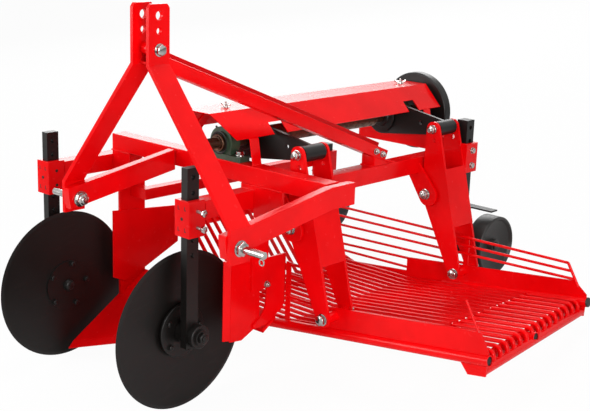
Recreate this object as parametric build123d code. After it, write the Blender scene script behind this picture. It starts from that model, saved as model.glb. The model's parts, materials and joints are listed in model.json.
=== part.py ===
from build123d import *
import os
from math import asin, atan2, cos, degrees, hypot, radians, sin, tan

# Mounted one-row potato harvester with a side-discharging shaker sieve.  Everything is modelled in
# the machine's level frame, in millimetres: X to the machine's left (the discharge side), Y to the
# rear and Z up, with x = 0 under the mast, y = 0 at the lower hitch pins and z = 0 under the discs.
# At the end the whole machine is leaned back until both discs and both wheels stand on the floor.

# ---- hitch ----
pin_height = 668.0          # lower hitch pins above the discs' lowest point
pin_shoulder = 388.0        # half the width over the pin shoulders
pin_radius = 11.0
pin_reach = 96.0            # free length of a lower pin outside its collar
pin_collar_radius = 19.0
pin_collar_length = 12.0
mast_rise = 612.0           # top link hole above the lower pins
mast_second_drop = 44.0     # second hole below the top one
mast_spacer_drop = 98.0     # spacer bolt below the top hole
mast_head = 33.0            # steel above the top hole
mast_bar = (78.0, 13.0)     # width along Y, thickness
mast_gap = 58.0             # between the two ears
mast_kink_drop = 142.0      # where the legs start to spread
mast_foot_rise = 56.0       # where the legs turn down to their feet
mast_foot_drop = 45.0       # foot below the lower pin
top_hole_radius = 12.75
second_hole_radius = 9.65
spacer_radius = 17.0
arm_size = (30.0, 70.0)     # thickness, height
arm_slope = 9.1             # degrees
arm_nose = 42.0             # arm in front of the pin
arm_rise_at_pin = 11.0      # arm's middle above the pin
arm_tail = 45.0             # left arm behind the front beam

# ---- main frame ----
tube = 60.0                 # square tube
tube_wall = 5.0
front_beam_y = 400.0        # front face
beam_top = 782.0            # top of the front and rear beams
side_beam_x = 50.0          # right face of the long beam under the front and rear beams
rear_beam_y = 1330.0
rear_beam_x = (-300.0, 150.0)
hanger_plate = (12.0, 165.0, 107.0)    # thickness, left edge, height under the front beam
hanger_box = (100.0, 77.0)  # width, height of the box under the front beam's right end
right_beam = (-580.0, 40.0, 595.0)     # right face, size, top
right_beam_front = 430.0
right_beam_tail = 55.0      # behind the rear beam's front face
stay_size = (58.0, 60.0, 6.0)          # width, height, sheet
stay_front_rise = 485.0     # middle of the stay at the mast's back edge, above the pins
stay_back = (1000.0, 40.0)  # y of its rear end, middle above the side beam
stay_nose = 52.0            # part of the stay between the mast's ears
post_y = (925.0, 1045.0)

# ---- shaft, bearings and cover ----
shaft_x = -130.0
shaft_rise = 54.0           # shaft axis above the beams
shaft_radius = 22.5
stub_radius = 17.5
stub_front_y = front_beam_y - 82.0
stub_chamfer = 3.0
tube_shaft_radius = 32.0    # fat middle stretch of the shaft
running_gap = 0.05          # radial gap of a shaft in its bore
bearing_base = (190.0, 54.0, 18.0)
bearing_radius = 52.0
flywheel = (150.0, 40.0, rear_beam_y + 130.0)    # radius, thickness, front face
flywheel_nut = 5.0          # shaft's end inside the flywheel's back face
cover_top_width = 120.0
cover_rise = 113.0          # cover's top above the shaft axis
cover_flange = (75.0, 79.0)            # outwards, downwards
cover_sheet = 3.0
cover_y = (front_beam_y - 101.0, rear_beam_y + 115.0)
cover_corner = 58.0         # front corner cut back along Y
cover_slot = (62.0, 40.0, 18.0)        # length along Y, height from the edge, middle behind the rod
hoop_bar = (40.0, 5.0)
hoop_foot = 150.0           # a hoop's feet either side of the shaft

# ---- rockers, connecting rods and sieve drive ----
rocker_lean = 14.3          # degrees, foot to the left
rocker_length = 535.0       # top pin to bottom pin
rocker_pivot = (232.0, 64.0)           # down from the top pin, to the right of the pin line
rocker_y = (front_beam_y + 75.0, rear_beam_y - 130.0)      # front faces
rocker_width = 125.0
rocker_plate = 10.0
rocker_radii = (28.0, 30.0, 26.0)      # round the top pin, pivot and bottom pin
rocker_web = (150.0, 365.0, 8.0)       # from, to, thickness
rocker_hole = (40.0, 8.0)   # second hole: down from the top pin, radius
rocker_pin_radius = 10.0
pin_end = 8.0               # pin outside a rocker's plates
bush_radius = 18.0
bush_gap = 0.3
pivot_pin_radius = 15.0
pivot_height = 590.0
pivot_x = 150.0
bracket_plate = 10.0
bracket_gap = 5.0
bracket_radius = 40.0
throw = 8.0
eccentric_radius = 32.0
rod_plate = 12.0
rod_big_end = (68.0, 50.0)  # outer and inner radius
rod_small_end = 27.0
rod_boss_length = 96.0
rod_hole = (186.0, 8.0)     # from the shaft, radius

# ---- sieve ----
sieve_slope = 7.8           # degrees, rising to the left
sieve_datum = pivot_height - 378.0     # side pipes' axis at x = 0
sieve_level_x = 75.0        # to the right of this the floor is level
sieve_pipe_size = (17.0, 3.0)          # radius, wall
sieve_wall = 5.0
sieve_wall_height = 88.0    # above the side pipes' axis
sieve_low_height = 28.0
sieve_pipes = {"near": (-7.0, 882.0), "far": (200.0, 798.0)}
wall_end_height = {"near": 84.0, "far": 72.0}
near_wall_right = 232.0
far_wall_right = -363.0
far_inlet = ((0.0, 84.0), (52.0, 27.0), (128.0, 3.0))    # left of that end, height above the floor
far_wall_drop = 12.0        # its lower edge under the level floor
far_step_x = 28.0
sieve_rise = ((-505.0, 238.0), (-290.0, 0.0))          # x, above the level floor
cross_bar = (30.0, 8.0)     # along X, thickness
cross_bar_x = (-200.0, 150.0, 575.0)
floor_top_of_cross_bars = 2.0          # above the side pipes' axis
bar_size = (8.0, 12.0)      # along Y, height
bar_count = 19
floor_edge = 20.0           # first bar from the side walls
rod_radius = 7.0
rod_count = 16
end_pipe_drop = 36.0        # end pipe below the side pipes' axis
end_pipe_radius = 15.0
end_strip_size = (5.0, 42.0, 24.0)     # thickness, height, before the end pipe's middle
end_pipe_inset = 24.0       # end pipe from the side pipes' ends
middle_pipe_share = 0.475   # middle pipe between the side walls
fence_radius = 5.0
far_fence_left = 86.0       # top rod's end to the right of the far pipe's
far_fence = ((224.0, 230.0), (186.0, 204.0), (148.0, 178.0))           # long rods: height right, left
far_fence_lean = 15.0       # each long rod's end to the left of the one above
far_middle = (108.0, 129.0, 295.0)     # middle rod: height right, left, and x of its left end
far_short = ((70.0, 88.0), (45.0, 52.0))
far_foot = (46.0, 50.0)     # end rod's foot: left of the top rod's end, above the pipe
near_end_rod = (102.0, 8.0, 492.0, 14.0, 14.0)  # right of the pipe's end, behind, top; foot; height
near_fence = (228.0, 188.0, 150.0, 112.0)
near_fence_right = 76.0

# ---- discs and wheels ----
disc_radius = 265.0
disc_y = 165.0
disc_x = {"left": -47.0, "right": -668.0}
disc_thickness = 5.0
disc_dish = 12.0
hub_flange = (88.0, 6.0)
hub_radius = 36.0
hub_side_gap = 2.0
axle_radius = 16.0
axle_nut = (28.0, 31.0)     # radius, length outside the shank
shank = (28.0, 48.0)        # along X, along Y
shank_offset = 55.0         # shank's middle from the disc
shank_y = 153.0
shank_top = 812.0
shank_drop = 40.0           # shank's end below the axle
clamp = (68.0, 68.0, 117.0)
clamp_middle = 653.0
disc_arm_top = 705.0
disc_arm_rear_y = 440.0
wheel_radius = 115.0
wheel_width = 70.0
wheel_rim = 6.0
wheel_hub = (30.0, 54.0)    # radius, length
wheel_axle_radius = 15.0
wheel_axle_z = 365.0
wheel_web = (8.0, 6.0)       # thickness, inside the outboard rim edge
wheel_offset = 70.0         # wheel's middle outboard of its shank
wheel_trail = 110.0         # axle behind the shank
wheel_shank = 45.0
wheel_shank_y = rear_beam_y + tube / 2 + 2.0
wheel_clamp_wall = 13.5
wheel_clamp_height = 110.0
wheels = {"left": {"x": 186.0, "top": 855.0, "clamp": 715.0},
          "right": {"x": -504.0, "top": 655.0, "clamp": 571.0}}
scraper = (82.0, 40.0, 6.0)            # along X, along Y, sheet
scraper_lead = 24.0         # before the axle
scraper_gap = 30.0          # over the wheel

# ---- digging parts ----
leg_plate = 12.0
share_slope = 32.3          # degrees, rising to the rear
share_tip = (-640.0, 153.0, 28.0)
share_point = (-80.0, 402.0)           # left end of the cutting edge
share_back_y = 500.0
share_heel_y = 442.0        # front of the part behind the left disc
share_sheet = 10.0
share_bevel = 22.0
leg_right_y = (383.0, 500.0)
cheek_x = 38.0
cheek_sheet = 6.0
cheek_bend = (300.0, 22.0, 10.0)       # y of the bend, lip along Y, lip along X
cheek_bolt = (452.0, 381.0, 9.0)       # y, z, radius
bracket_sheet = 8.0
# outlines in y and z
leg_left_outline = ((458.0, 368.0), (385.0, 368.0), (385.0, 560.0), (412.0, 612.0))
cheek_outline = ((300.0, 489.0), (431.0, 480.0), (434.0, 261.0), (407.0, 229.0), (352.0, 204.0), (300.0, 210.0))
cheek_lip_z = (216.0, 489.0)
bracket_outline = ((424.0, 234.0), (401.0, 232.0), (401.0, 248.0), (428.0, 264.0), (446.0, 282.0), (455.0, 300.0),
                   (458.0, 330.0), (458.0, 470.0), (548.0, 470.0), (548.0, 300.0), (536.0, 274.0))
bracket_foot_y = (460.0, 500.0)
moldboard_outline = ((346.0, 513.0), (662.0, 483.0), (658.0, 340.0), (478.0, 262.0), (398.0, 236.0), (346.0, 260.0))

tilt = tan(radians(sieve_slope))
slope_cos = cos(radians(sieve_slope))
arm_outer = pin_shoulder - mast_bar[1]
arm_inner = arm_outer - arm_size[0]
shaft_z = beam_top + shaft_rise
beam_floor = beam_top - tube


def block(x, y, z):
    """A box given by its low and high x, y and z."""
    return Pos((x[0] + x[1]) / 2, (y[0] + y[1]) / 2, (z[0] + z[1]) / 2) * Box(
        x[1] - x[0], y[1] - y[0], z[1] - z[0])


def round_y(x, z, radius, y):
    """A cylinder along Y between two y values."""
    return Pos(x, (y[0] + y[1]) / 2, z) * Rot(X=90) * Cylinder(radius, y[1] - y[0])


def round_x(y, z, radius, x):
    """A cylinder along X between two x values."""
    return Pos((x[0] + x[1]) / 2, y, z) * Rot(Y=90) * Cylinder(radius, x[1] - x[0])


def round_bar(start, end, radius):
    """A round bar from one point to another."""
    way = Vector(*end) - Vector(*start)
    return Plane(origin=start, z_dir=way) * Cylinder(
        radius, way.length, align=(Align.CENTER, Align.CENTER, Align.MIN))


def strip(points, width):
    """A face of constant width that follows the points with mitred corners."""
    path = [Vector(*point) for point in points]
    ways = [(b - a).normalized() for a, b in zip(path, path[1:])]
    left, right = [], []
    for index, point in enumerate(path):
        before = ways[max(index - 1, 0)]
        after = ways[min(index, len(ways) - 1)]
        middle = (before + after).normalized()
        side = Vector(-middle.Y, middle.X)
        reach = side * (width / 2 / side.dot(Vector(-after.Y, after.X)))
        left.append(point + reach)
        right.append(point - reach)
    return make_face(Polyline(*left, *reversed(right), close=True))


def outline(points):
    return make_face(Polyline(*points, close=True))


def across(face, y):
    """Extrude a face drawn in X and Z between two y values."""
    return extrude(Plane.XZ.offset(-y[0]) * face, amount=y[0] - y[1])


def sideways(face, x):
    """Extrude a face drawn in Y and Z between two x values."""
    return extrude(Plane.YZ.offset(x[0]) * face, amount=x[1] - x[0])


def hull_of(circles):
    """The hull face of circles given as x, y, radius."""
    rims = Curve() + [Pos(x, y) * CenterArc((0, 0), radius, 0, 360).edge() for x, y, radius in circles]
    return make_hull(rims.edges())


def sieve_z(x):
    """Height of the side tubes' axis at this x."""
    return sieve_datum + tilt * x


# ---------------------------------------------------------------- hitch

def mast_leg(side):
    """One bent flat bar of the mast: ear, spreading leg and foot, with its pin holes."""
    width, thickness = mast_bar
    ear_x = mast_gap / 2 + thickness / 2
    foot_x = pin_shoulder - thickness / 2
    top = pin_height + mast_rise
    profile = strip([(side * ear_x, top + mast_head), (side * ear_x, top - mast_kink_drop),
                     (side * foot_x, pin_height + mast_foot_rise),
                     (side * foot_x, pin_height - mast_foot_drop)], thickness)
    leg = across(profile, (-width / 2, width / 2))
    head = sideways(Pos(0, top) * Circle(hypot(width / 2, mast_head * 0.62))
                    + Pos(0, top - pin_height / 2) * Rectangle(width + 2, pin_height), (-pin_reach, pin_reach))
    leg = leg & (head + block((-600, 600), (-100, 100), (0, top - mast_kink_drop)))
    wide = (-pin_shoulder, pin_shoulder)
    for drop, radius in ((0, top_hole_radius), (mast_second_drop, second_hole_radius),
                         (mast_spacer_drop, spacer_radius / 2 + running_gap)):
        leg -= round_x(0, top - drop, radius, (side * ear_x - thickness, side * ear_x + thickness))
    leg -= round_x(0, pin_height, pin_radius + running_gap, wide if side > 0 else (-400, 0))
    return leg


def lower_arm(side):
    """A rising lower arm, welded to the front beam; the left one runs on past its end."""
    height = arm_size[1]
    middle = pin_height + arm_rise_at_pin
    at_beam = middle + front_beam_y * tan(radians(arm_slope))
    points = [(-arm_nose, middle - arm_nose * tan(radians(arm_slope))), (front_beam_y, at_beam)]
    if side > 0:
        points.append((front_beam_y + tube + arm_tail, at_beam))
    span = (side * arm_inner, side * arm_outer)
    arm = sideways(strip(points, height), (min(span), max(span)))
    arm &= block((-500, 500), (-arm_nose - 3, front_beam_y if side < 0 else 900), (500, 900))
    return arm - round_x(0, pin_height, pin_radius + running_gap, (min(span) - 1, max(span) + 1))


def hitch_pin(side):
    """A turned lower pin with its collar, carried through the foot and the arm."""
    shaft = round_x(0, pin_height, pin_radius, (arm_inner - 22, pin_shoulder + pin_reach))
    collar = round_x(0, pin_height, pin_collar_radius, (pin_shoulder, pin_shoulder + pin_collar_length))
    nut = round_x(0, pin_height, 17, (arm_inner - 18, arm_inner))
    pin = chamfer(shaft.edges().sort_by(Axis.X)[-1], 2) + collar + nut
    return pin if side > 0 else mirror(pin, about=Plane.YZ)


# ---------------------------------------------------------------- frame

def square_tube(x, y, z, axis, closed=()):
    """A square tube along an axis; a wall is left at each closed end (low, high)."""
    inner = []
    for letter, (low, high) in zip("xyz", (x, y, z)):
        if letter == axis:
            inner.append((low + tube_wall if "low" in closed else low - 1,
                          high - tube_wall if "high" in closed else high + 1))
        else:
            inner.append((low + tube_wall, high - tube_wall))
    return block(x, y, z) - block(*inner)


def stay_line():
    """The stay's middle line as a plane at its front end and the length back to its rear end."""
    front = Vector(0, mast_bar[0] / 2, pin_height + stay_front_rise)
    back = Vector(side_beam_x + tube / 2, stay_back[0], beam_floor + stay_back[1])
    way = back - front
    start = front - way.normalized() * stay_nose
    return Plane(origin=start, x_dir=(way.Y, -way.X, 0), z_dir=way), way.length + stay_nose


def stay():
    """The channel from the mast's back edge down to its post on the side beam, open at the top."""
    width, height, sheet = stay_size
    plane, length = stay_line()
    half = (width - sheet) / 2
    floor = (sheet - height) / 2
    section = strip([(-half, height / 2), (-half, floor), (half, floor), (half, height / 2)], sheet)
    channel = extrude(plane * section, amount=length)
    channel -= round_x(0, pin_height + mast_rise - mast_spacer_drop, spacer_radius / 2 + running_gap, (-50, 50))
    return channel


def stay_post():
    """A box on the side beam, cut to the stay's slope at the top."""
    x = (side_beam_x, side_beam_x + tube)
    box = square_tube(x, post_y, (beam_floor, beam_top + tube), "z")
    plane, length = stay_line()
    width, height, _ = stay_size
    room = extrude(plane * (Pos(0, height) * Rectangle(width * 4, height * 3)), amount=length * 2)
    return box - room


def mast_spacer():
    """The spacer tube in the stay's nose with its bolt through both ears."""
    width, _, sheet = stay_size
    height = pin_height + mast_rise - mast_spacer_drop
    half = width / 2 - sheet - 1
    ears = mast_gap / 2 + mast_bar[1]
    spacer = round_x(0, height, spacer_radius, (-half, half))
    bolt = round_x(0, height, spacer_radius / 2, (-ears - 12, ears + 14))
    heads = round_x(0, height, spacer_radius * 0.85, (-ears - 10, -ears))
    heads += round_x(0, height, spacer_radius * 0.85, (ears, ears + 10))
    return spacer + bolt + heads


def pivot_bracket(front_y):
    """A round-ended plate that drops from the side beam to a rocker's pivot, with the pivot pin."""
    face_y = front_y - bracket_gap
    shape = hull_of([(side_beam_x + bracket_radius - 5, beam_floor - bracket_radius, bracket_radius - 8),
                     (pivot_x + 8, pivot_height - 4, bracket_radius)])
    beam = block((side_beam_x - tube, side_beam_x + tube), (0, 2000), (beam_floor - tube, beam_floor))
    beside = block((side_beam_x - tube, side_beam_x), (0, 2000), (0, beam_floor))
    body = across(shape, (face_y - bracket_plate, face_y)) - beam - beside
    pin = round_y(pivot_x, pivot_height, pivot_pin_radius, (face_y - 20, front_y + rocker_width + 6))
    return body + pin


# ---------------------------------------------------------------- rockers and rods

def rocker_point(down, right):
    """A point of a rocker given down from its top pin and to the right of its pin line."""
    lean = radians(rocker_lean)
    return (rocker_top[0] + down * sin(lean) - right * cos(lean),
            rocker_top[1] - down * cos(lean) - right * sin(lean))


lean = radians(rocker_lean)
rocker_top = (pivot_x - rocker_pivot[0] * sin(lean) + rocker_pivot[1] * cos(lean),
              pivot_height + rocker_pivot[0] * cos(lean) + rocker_pivot[1] * sin(lean))
rocker_foot = rocker_point(rocker_length, 0)


def rocker(front_y):
    """Two plates, the web between them, the pivot tube and the two pins with the sieve's bushes."""
    rear_y = front_y + rocker_width
    circles = [(*rocker_point(0, 0), rocker_radii[0]), (*rocker_point(*rocker_pivot), rocker_radii[1]),
               (*rocker_foot, rocker_radii[2])]
    face = hull_of(circles)
    face -= Pos(*rocker_point(rocker_pivot[0], rocker_pivot[1])) * Circle(pivot_pin_radius + running_gap)
    face -= Pos(*rocker_point(rocker_hole[0], 0)) * Circle(rocker_hole[1])
    plates = across(face, (front_y, front_y + rocker_plate)) + across(face, (rear_y - rocker_plate, rear_y))
    low, high, thickness = rocker_web
    right = -rocker_radii[0] + thickness / 2
    web = across(strip([rocker_point(low, right), rocker_point(high, right)], thickness), (front_y, rear_y))
    tube_face = Pos(pivot_x, pivot_height) * (Circle(pivot_pin_radius + 8) - Circle(pivot_pin_radius + running_gap))
    pivot_tube = across(tube_face, (front_y, rear_y))
    reach = (front_y - pin_end, rear_y + pin_end)
    pins = round_y(*rocker_top, rocker_pin_radius, reach) + round_y(*rocker_foot, rocker_pin_radius, reach)
    wall_y = (front_y + rear_y) / 2
    beside = sieve_wall / 2 + bush_gap
    bushes = round_y(*rocker_foot, bush_radius, (front_y + rocker_plate, wall_y - beside))
    bushes += round_y(*rocker_foot, bush_radius, (wall_y + beside, rear_y - rocker_plate))
    return plates + web + pivot_tube + pins + bushes


def connecting_rod(front_y):
    """A tapered plate with a wide ring round the eccentric and a boss on the rocker's top pin."""
    middle = front_y + rocker_width / 2
    shape = hull_of([(shaft_x, shaft_z, rod_big_end[0]), (*rocker_top, rod_small_end)])
    shape -= Pos(shaft_x, shaft_z) * Circle(rod_big_end[1])
    shape -= Pos(shaft_x + rod_hole[0], shaft_z) * Circle(rod_hole[1])
    body = across(shape, (middle - rod_plate / 2, middle + rod_plate / 2))
    half = rod_boss_length / 2
    body += round_y(*rocker_top, rod_small_end, (middle - half, middle + half))
    return body - round_y(*rocker_top, rocker_pin_radius + running_gap, (front_y - 10, front_y + rocker_width + 10))


# ---------------------------------------------------------------- shaft line

def drive_shaft():
    """Splined stub, shaft, fat middle tube and the two eccentrics."""
    journal = round_y(shaft_x, shaft_z, shaft_radius, (front_beam_y - 10, sum(flywheel[1:]) - flywheel_nut))
    stub = round_y(shaft_x, shaft_z, stub_radius, (stub_front_y, front_beam_y - 10))
    shaft = chamfer(stub.edges().sort_by(Axis.Y)[0], stub_chamfer) + journal
    shaft += round_y(shaft_x, shaft_z, tube_shaft_radius,
                     (rocker_y[0] + rocker_width + 5, rocker_y[1] - 8))
    for front_y in rocker_y:
        middle = front_y + rocker_width / 2
        shaft += round_y(shaft_x, shaft_z + throw, eccentric_radius,
                         (middle - rod_plate / 2 - 4, middle + rod_plate / 2 + 4))
    return shaft


def bearing(middle_y):
    """A pillow block: foot, arched body and a short collar, bored for the shaft."""
    length, width, height = bearing_base
    half = width / 2
    foot = block((shaft_x - length / 2, shaft_x + length / 2), (middle_y - half, middle_y + half),
                 (beam_top, beam_top + height))
    foot = fillet(foot.edges().filter_by(Axis.Z), 10)
    arch = Pos(shaft_x, shaft_z) * Circle(bearing_radius)
    arch += Pos(shaft_x, beam_top + shaft_rise / 2) * Rectangle(1.75 * bearing_radius, shaft_rise)
    body = across(arch, (middle_y - half * 0.7, middle_y + half * 0.7))
    collar = round_y(shaft_x, shaft_z, bearing_radius * 0.72, (middle_y - half, middle_y + half))
    housing = foot + body + collar
    return housing - round_y(shaft_x, shaft_z, shaft_radius + running_gap, (middle_y - 50, middle_y + 50))


def cover_points(inset=0.0):
    """Half-width and height of the cover's folds above the shaft, from the right edge to the left."""
    half = cover_top_width / 2
    out, down = cover_flange
    return [(shaft_x - half - out, shaft_z + cover_rise - down - inset),
            (shaft_x - half, shaft_z + cover_rise - inset),
            (shaft_x + half, shaft_z + cover_rise - inset),
            (shaft_x + half + out, shaft_z + cover_rise - down - inset)]


def shaft_cover():
    """The folded sheet over the shaft, with cut-back front corners and a slot for each rod."""
    sheet = across(strip(cover_points(), cover_sheet), cover_y)
    low = shaft_z + cover_rise - cover_flange[1] - 5
    top = shaft_z + cover_rise + 5
    corner = outline([(cover_y[0] - 1, low), (cover_y[0] + cover_corner, low), (cover_y[0] - 1, top)])
    sheet -= sideways(corner, (shaft_x - 300, shaft_x + 300))
    for front_y in rocker_y:
        middle = front_y + rocker_width / 2 + cover_slot[2]
        sheet -= block((shaft_x + cover_top_width / 2, shaft_x + 300),
                       (middle - cover_slot[0] / 2, middle + cover_slot[0] / 2), (low, low + cover_slot[1]))
    return sheet


def cover_hoop(middle_y):
    """A flat bar bent to the cover's inside, with its feet on a beam."""
    width, thickness = hoop_bar
    gap = cover_sheet / 2 + thickness / 2 + 1.0
    inside = cover_points(gap * 1.25)
    points = [(shaft_x - hoop_foot, beam_top)] + inside + [(shaft_x + hoop_foot, beam_top)]
    hoop = across(strip(points, thickness), (middle_y - width / 2, middle_y + width / 2))
    return hoop & block((-900, 900), (0, 2000), (beam_top, 2000))


def flywheel_disc():
    radius, thickness, front_y = flywheel
    disc = round_y(shaft_x, shaft_z, radius, (front_y, front_y + thickness))
    disc = fillet(disc.edges(), 6)
    return disc - round_y(shaft_x, shaft_z, shaft_radius, (front_y - 1, front_y + thickness + 1))


# ---------------------------------------------------------------- sieve

wall_y = {"near": rocker_y[0] + rocker_width / 2, "far": rocker_y[1] + rocker_width / 2}
floor_level = sieve_z(sieve_level_x)
rod_start_x = cross_bar_x[-1]


def floor_z(x):
    """Height the floor follows: level on the right, then rising with the side pipes."""
    return max(floor_level, sieve_z(x))


def end_pipe_x(y):
    """The end pipe runs across the tray from the near pipe's end to the shorter far one."""
    near, far = sieve_pipes["near"][1] - end_pipe_inset, sieve_pipes["far"][1] - end_pipe_inset
    return near + (far - near) * (y - wall_y["near"]) / (wall_y["far"] - wall_y["near"])


def pipe_core(side):
    """The solid bar that fills a side pipe."""
    right, left = sieve_pipes[side]
    start = (right, wall_y[side], sieve_z(right))
    return round_bar(start, (left, wall_y[side], sieve_z(left)), sieve_pipe_size[0])


def side_pipe(side):
    right, left = sieve_pipes[side]
    bore = round_bar((right, wall_y[side], sieve_z(right)), (left, wall_y[side], sieve_z(left)),
                     sieve_pipe_size[0] - sieve_pipe_size[1])
    return pipe_core(side) - bore


def side_wall(side):
    """A side wall on its pipe, with a slanted left end over a foot; the far one has a low inlet."""
    left = sieve_pipes[side][1]
    top_left = left - (38 if side == "near" else 55)
    end = [(top_left, sieve_z(top_left) + wall_end_height[side]), (left - 6, sieve_z(left) + 25),
           (left - 6, sieve_z(left)), (left - 10, sieve_z(left) - 52), (left - 72, sieve_z(left) - 62),
           (left - 112, sieve_z(left - 112))]
    if side == "near":
        start = [(near_wall_right, sieve_z(near_wall_right)),
                 (near_wall_right, sieve_z(near_wall_right) + sieve_wall_height)]
    else:
        low = floor_level - far_wall_drop
        start = [(far_step_x, low), (far_wall_right, low)]
        start += [(far_wall_right + along, floor_level + rise) for along, rise in far_inlet]
        start += [(far_step_x, floor_level + sieve_low_height), (far_step_x, sieve_z(far_step_x) + sieve_wall_height)]
    y = wall_y[side]
    wall = across(outline(start + end), (y - sieve_wall / 2, y + sieve_wall / 2))
    return wall - pipe_core(side) - round_y(*rocker_foot, rocker_pin_radius + running_gap, (y - 9, y + 9))


def cross_bars():
    """Flat bars under the floor, coped to the side pipes."""
    length, thickness = cross_bar
    y = (wall_y["near"] + sieve_wall / 2, wall_y["far"] - sieve_wall / 2)
    bars = Part()
    for middle in cross_bar_x:
        ends = (middle - length / 2, middle + length / 2)
        tops = [(x, floor_z(x) + floor_top_of_cross_bars) for x in ends]
        bars += across(outline(tops + [(x, z - thickness) for x, z in reversed(tops)]), y)
    bars += end_strip() - middle_bar(sieve_pipe_size[0])
    bars += rise_bar()
    return bars - pipe_core("near") - pipe_core("far")


def floor_rows(count):
    """Y of evenly spaced floor members between the side walls."""
    low = wall_y["near"] + sieve_pipe_size[0] + floor_edge / 2
    high = wall_y["far"] - sieve_pipe_size[0] - floor_edge / 2
    return [low + (high - low) * index / (count - 1) for index in range(count)]


def rise_line(lift):
    """The line on which the floor climbs at its right end."""
    return [(x, floor_level + rise + lift) for x, rise in sieve_rise]


def rise_bar():
    """The flat bar under the tops of the floor bars."""
    top, foot = [Vector(x, z) for x, z in rise_line(floor_top_of_cross_bars + bar_size[1] / 2 / slope_cos)[:2]]
    along = (foot - top).normalized()
    away = Vector(along.Y, -along.X) * (bar_size[1] + cross_bar[1]) / 2
    ends = [top + along * cross_bar[1] + away, top + along * (cross_bar[1] + cross_bar[0]) + away]
    rows = floor_rows(bar_count)
    return across(strip([(end.X, end.Y) for end in ends], cross_bar[1]), (rows[0] - cross_bar[1], rows[-1] + cross_bar[1]))


def floor_bars():
    """Flat bars on edge over the right and middle of the floor, open between them."""
    width, height = bar_size
    lift = floor_top_of_cross_bars + height / 2 / slope_cos
    left = rod_start_x - 4
    path = rise_line(lift) + [(sieve_level_x, floor_level + lift), (left, sieve_z(left) + lift)]
    face = strip(path, height)
    return [across(face, (y - width / 2, y + width / 2)) for y in floor_rows(bar_count)]


def floor_rods():
    """Round rods on the raised end of the floor, curled down on to the end pipe."""
    rods = []
    lift = floor_top_of_cross_bars + rod_radius / slope_cos
    for y in floor_rows(rod_count):
        end = end_pipe_x(y)
        start = (rod_start_x + 4, y, sieve_z(rod_start_x + 4) + lift)
        corner = (end, y, sieve_z(end) + lift)
        foot = (end, y, sieve_z(end) - end_pipe_drop + end_pipe_radius - 1)
        path = FilletPolyline(start, corner, foot, radius=22)
        rods.append(sweep(Plane(path ^ 0) * Circle(rod_radius), path=path))
    return rods


def middle_bar(radius):
    """A round bar on the line of the pipe under the middle of the raised floor."""
    y = wall_y["near"] + (wall_y["far"] - wall_y["near"]) * middle_pipe_share
    drop = floor_top_of_cross_bars - cross_bar[1] - sieve_pipe_size[0] / slope_cos
    left = end_pipe_x(y) + 12
    return round_bar((rod_start_x - 20, y, sieve_z(rod_start_x - 20) + drop), (left, y, sieve_z(left) + drop), radius)


def end_strip():
    """The flat bar on edge behind the curled ends of the rods."""
    thickness, height, inset = end_strip_size
    plan = []
    for side, inward, edge in (("near", 1, 0), ("far", -1, 0), ("far", -1, thickness), ("near", 1, thickness)):
        y = wall_y[side] + inward * sieve_wall / 2
        plan.append((end_pipe_x(y) - inset - edge, y))
    top = floor_top_of_cross_bars
    ends = (rod_start_x, sieve_pipes["near"][1])
    band = [(x, sieve_z(x) + top) for x in ends] + [(x, sieve_z(x) + top - height) for x in reversed(ends)]
    strip_block = extrude(outline(plan), amount=sieve_z(ends[1]) * 2)
    return strip_block & across(outline(band), (wall_y["near"], wall_y["far"]))


def end_pipes():
    """The pipe across the discharge end and the middle pipe that runs back from it."""
    ends = []
    for side, inset in (("near", 1), ("far", -1)):
        y = wall_y[side] + inset * sieve_wall / 2
        ends.append((end_pipe_x(y), y, sieve_z(end_pipe_x(y)) - end_pipe_drop))
    radius, wall = sieve_pipe_size
    return round_bar(*ends, end_pipe_radius) + middle_bar(radius) - middle_bar(radius - wall)


def fence_post(side, x, top, foot=10):
    """A flat post on a side wall's plane, with its foot above the floor."""
    y = wall_y[side]
    return block((x - 10, x + 10), (y - sieve_wall / 2, y + sieve_wall / 2), (floor_z(x) + foot, top))


def far_fence_rods():
    """Round rods over the far wall, between an end post and a slanted rod at the left."""
    y = wall_y["far"]
    post_x = far_wall_right - 10
    left = sieve_pipes["far"][1] - far_fence_left
    ends = [(left + far_fence_lean * index, *heights) for index, heights in enumerate(far_fence)]
    ends.append((far_middle[2], *far_middle[:2]))
    ends += [(far_step_x, *heights) for heights in far_short]
    rods = Part()
    for x, low, high in ends:
        rods += round_bar((post_x, y, sieve_datum + low), (x, y, sieve_datum + high), fence_radius)
    foot = (left + far_foot[0], y, sieve_z(left + far_foot[0]) + far_foot[1])
    rods += round_bar((left, y, sieve_datum + far_fence[0][1]), foot, fence_radius)
    top = sieve_datum + far_fence[0][0] + 6
    return rods + fence_post("far", post_x, top) + fence_post("far", far_middle[2], top + 4, sieve_wall_height - 10)


def near_fence_rods():
    """Round rods beside the front rocker, between a post and the near wall's right end."""
    y = wall_y["near"]
    rods = Part()
    for height in near_fence:
        z = sieve_datum + height
        rods += round_bar((near_fence_right, y, z), (near_wall_right - 5, y, z), fence_radius)
    high = sieve_datum + near_fence[0] + 6
    right_post = fence_post("near", near_fence_right, high)
    left_post = fence_post("near", near_wall_right - 10, high)
    along, behind, top, foot, rise = near_end_rod
    end = sieve_pipes["near"][1]
    end_rod = round_bar((end - along, y + behind, top), (end - foot, y + behind, sieve_z(end - foot) + rise),
                        fence_radius * 0.7)
    return rods + right_post + left_post + end_rod - pipe_core("near")


# ---------------------------------------------------------------- discs and wheels

def outboard(side):
    return 1 if side == "left" else -1


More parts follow.
